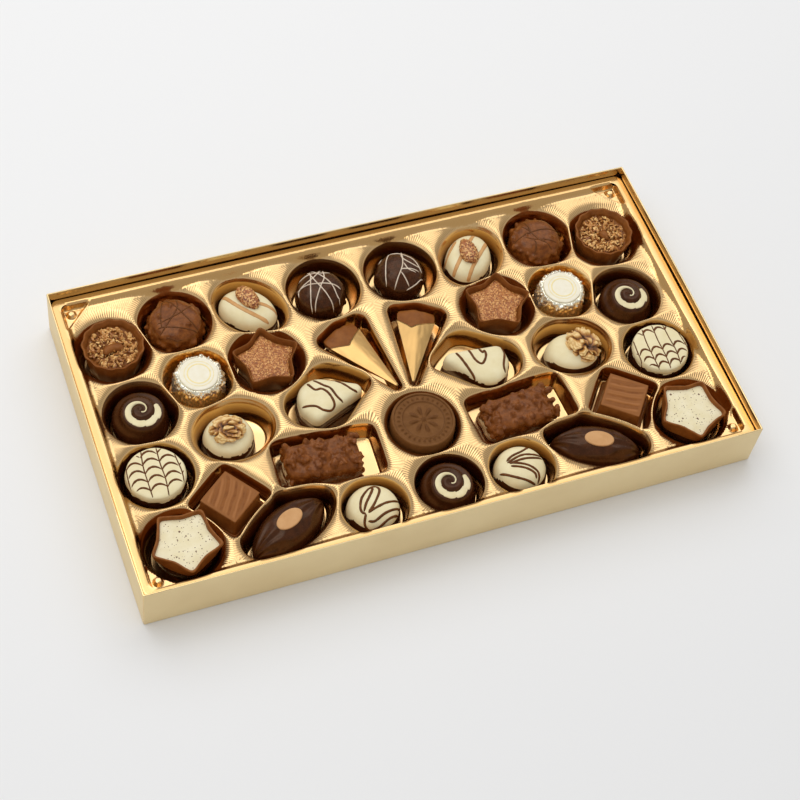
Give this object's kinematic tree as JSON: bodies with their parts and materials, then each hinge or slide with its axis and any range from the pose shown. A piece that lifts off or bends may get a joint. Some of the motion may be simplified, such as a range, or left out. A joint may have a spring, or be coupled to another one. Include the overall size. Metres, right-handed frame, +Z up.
{
  "type": "open box of chocolate pralines",
  "caption": "Shallow open gold gift box with a formed gold tray that holds an assortment of moulded, foil-wrapped and nut-topped chocolate pralines, each in its own pocket.",
  "frame": {"origin": "middle of the box's underside", "axes": "+X along the box's length, +Y across it to the back side, +Z up out of the open top"},
  "size_m": [0.35, 0.194, 0.0315],
  "materials": {
    "gold_board": "satin",
    "gold_plastic": "glossy",
    "milk_chocolate": "satin",
    "dark_chocolate": "glossy",
    "white_chocolate": "satin",
    "gold_foil": "glossy",
    "walnut": "matte",
    "pecan": "matte"
  },
  "bodies": {
    "root": {"box": "gold_board", "tray": "gold_plastic", "nut_cup_left": "milk_chocolate", "nut_cup_right": "milk_chocolate", "nut_dome_left": "milk_chocolate", "nut_dome_right": "milk_chocolate", "pecan_oval_left": "white_chocolate", "pecan_oval_right": "white_chocolate", "pecan_half_left": "pecan", "pecan_half_right": "pecan", "ball_truffle_left": "dark_chocolate", "ball_truffle_right": "dark_chocolate", "swirl_dome_left": "dark_chocolate", "swirl_dome_right": "dark_chocolate", "foil_cap_left": "gold_foil", "foil_cap_right": "gold_foil", "nut_star_left": "milk_chocolate", "nut_star_right": "milk_chocolate", "feather_disc_left": "white_chocolate", "feather_disc_right": "white_chocolate", "walnut_dome_left": "white_chocolate", "walnut_dome_right": "white_chocolate", "walnut_half_left": "walnut", "walnut_half_right": "walnut", "halfmoon_left": "white_chocolate", "halfmoon_right": "white_chocolate", "speckled_star_left": "milk_chocolate", "speckled_star_right": "milk_chocolate", "bevelled_square_left": "milk_chocolate", "bevelled_square_right": "milk_chocolate", "nut_bar_left": "milk_chocolate", "nut_bar_right": "milk_chocolate", "pleated_almond_left": "dark_chocolate", "pleated_almond_right": "dark_chocolate", "drizzled_round_left": "white_chocolate", "drizzled_round_right": "white_chocolate", "cornet_left": "gold_foil", "cornet_right": "gold_foil", "medallion": "milk_chocolate", "swirl_dome_middle": "dark_chocolate"}
  },
  "joints": []
}
